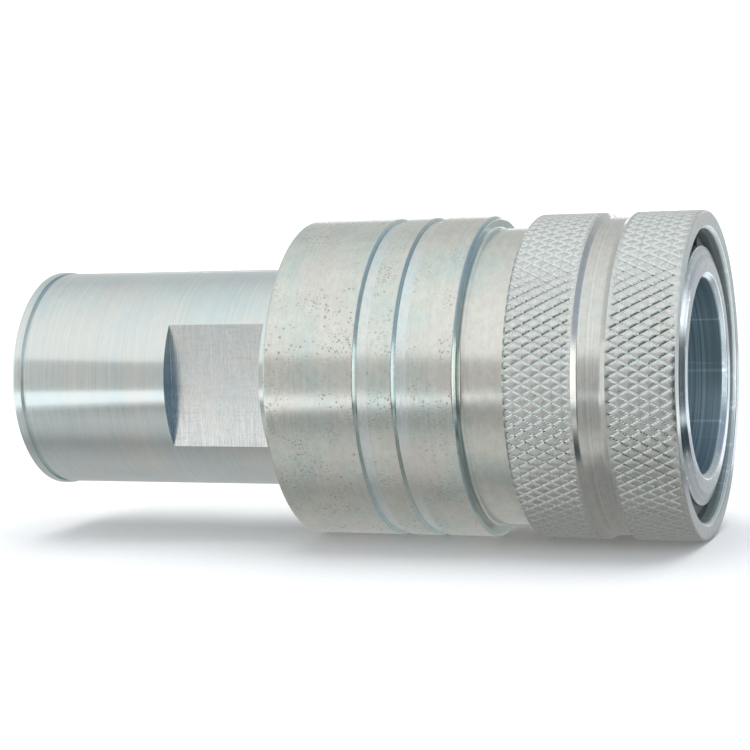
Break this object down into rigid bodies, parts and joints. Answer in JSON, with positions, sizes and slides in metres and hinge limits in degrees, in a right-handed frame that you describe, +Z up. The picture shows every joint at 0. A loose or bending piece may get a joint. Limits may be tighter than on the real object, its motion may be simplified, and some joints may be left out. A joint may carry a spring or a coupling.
{
  "type": "quick disconnect coupler",
  "caption": "Female hydraulic quick coupler: tube end with wrench flats and a threaded port, grooved collar, knurled pull-back sleeve over locking balls, and a spring-closed valve.",
  "frame": {"origin": "on the coupler's axis, at the port face", "axes": "+X along the axis from the port to the mouth, +Y through a wrench flat, +Z up"},
  "size_m": [0.0834, 0.038, 0.038],
  "materials": {
    "plated_tube": "bright zinc plate, satin, fine turning marks",
    "plated_body": "zinc plate, matte and lightly pitted on the collar, polished on the neck and in the socket",
    "knurled_sleeve": "zinc plate over a diamond knurl",
    "spring_steel": "bright spring steel",
    "valve_steel": "machined zinc plate",
    "ball_steel": "polished bearing steel",
    "seal_rubber": "black nitrile",
    "backup_ptfe": "white PTFE"
  },
  "bodies": {
    "coupler_body": {"port_adapter": "plated_tube", "socket_body": "plated_body", "adapter_o_ring": "seal_rubber", "adapter_backup_ring": "backup_ptfe", "probe_seal": "seal_rubber", "probe_backup_ring": "backup_ptfe", "sleeve_stop_ring": "spring_steel", "sleeve_spring": "spring_steel", "valve_spring": "spring_steel", "valve_guide": "valve_steel"},
    "follower": {"spring_follower": "valve_steel"},
    "sleeve": {"locking_sleeve": "knurled_sleeve"},
    "poppet": {"valve_poppet": "valve_steel", "poppet_seal": "seal_rubber", "poppet_nose": "valve_steel"},
    "ball_1": {"locking_ball_1": "ball_steel"},
    "ball_2": {"locking_ball_2": "ball_steel"},
    "ball_3": {"locking_ball_3": "ball_steel"},
    "ball_4": {"locking_ball_4": "ball_steel"},
    "ball_5": {"locking_ball_5": "ball_steel"},
    "ball_6": {"locking_ball_6": "ball_steel"},
    "ball_7": {"locking_ball_7": "ball_steel"},
    "ball_8": {"locking_ball_8": "ball_steel"}
  },
  "joints": [
    {"name": "sleeve_slide", "type": "slide", "parent": "coupler_body", "child": "follower", "axis": [-1, 0, 0], "range_m": [0, 0.0045], "stiffness_N_per_m": 1500, "springref_m": -0.004, "deforming": ["sleeve_spring"]},
    {"name": "sleeve_spin", "type": "hinge", "parent": "follower", "child": "sleeve", "pos_m": [0.0641, 0, 0], "axis": [1, 0, 0], "continuous": true},
    {"name": "poppet_slide", "type": "slide", "parent": "coupler_body", "child": "poppet", "axis": [-1, 0, 0], "range_m": [0, 0.0055], "stiffness_N_per_m": 800, "springref_m": -0.004, "deforming": ["valve_spring"]},
    {"name": "ball_1_slide", "type": "slide", "parent": "coupler_body", "child": "ball_1", "axis": [0, 0.3827, 0.9239], "range_m": [0, 0.0009]},
    {"name": "ball_2_slide", "type": "slide", "parent": "coupler_body", "child": "ball_2", "axis": [0, 0.9239, 0.3827], "range_m": [0, 0.0009]},
    {"name": "ball_3_slide", "type": "slide", "parent": "coupler_body", "child": "ball_3", "axis": [0, 0.9239, -0.3827], "range_m": [0, 0.0009]},
    {"name": "ball_4_slide", "type": "slide", "parent": "coupler_body", "child": "ball_4", "axis": [0, 0.3827, -0.9239], "range_m": [0, 0.0009]},
    {"name": "ball_5_slide", "type": "slide", "parent": "coupler_body", "child": "ball_5", "axis": [0, -0.3827, -0.9239], "range_m": [0, 0.0009]},
    {"name": "ball_6_slide", "type": "slide", "parent": "coupler_body", "child": "ball_6", "axis": [0, -0.9239, -0.3827], "range_m": [0, 0.0009]},
    {"name": "ball_7_slide", "type": "slide", "parent": "coupler_body", "child": "ball_7", "axis": [0, -0.9239, 0.3827], "range_m": [0, 0.0009]},
    {"name": "ball_8_slide", "type": "slide", "parent": "coupler_body", "child": "ball_8", "axis": [0, -0.3827, 0.9239], "range_m": [0, 0.0009]}
  ],
  "couplings": [
    {"joint": "ball_1_slide", "follows": "sleeve_slide", "ratio": 0.2},
    {"joint": "ball_2_slide", "follows": "sleeve_slide", "ratio": 0.2},
    {"joint": "ball_3_slide", "follows": "sleeve_slide", "ratio": 0.2},
    {"joint": "ball_4_slide", "follows": "sleeve_slide", "ratio": 0.2},
    {"joint": "ball_5_slide", "follows": "sleeve_slide", "ratio": 0.2},
    {"joint": "ball_6_slide", "follows": "sleeve_slide", "ratio": 0.2},
    {"joint": "ball_7_slide", "follows": "sleeve_slide", "ratio": 0.2},
    {"joint": "ball_8_slide", "follows": "sleeve_slide", "ratio": 0.2}
  ]
}
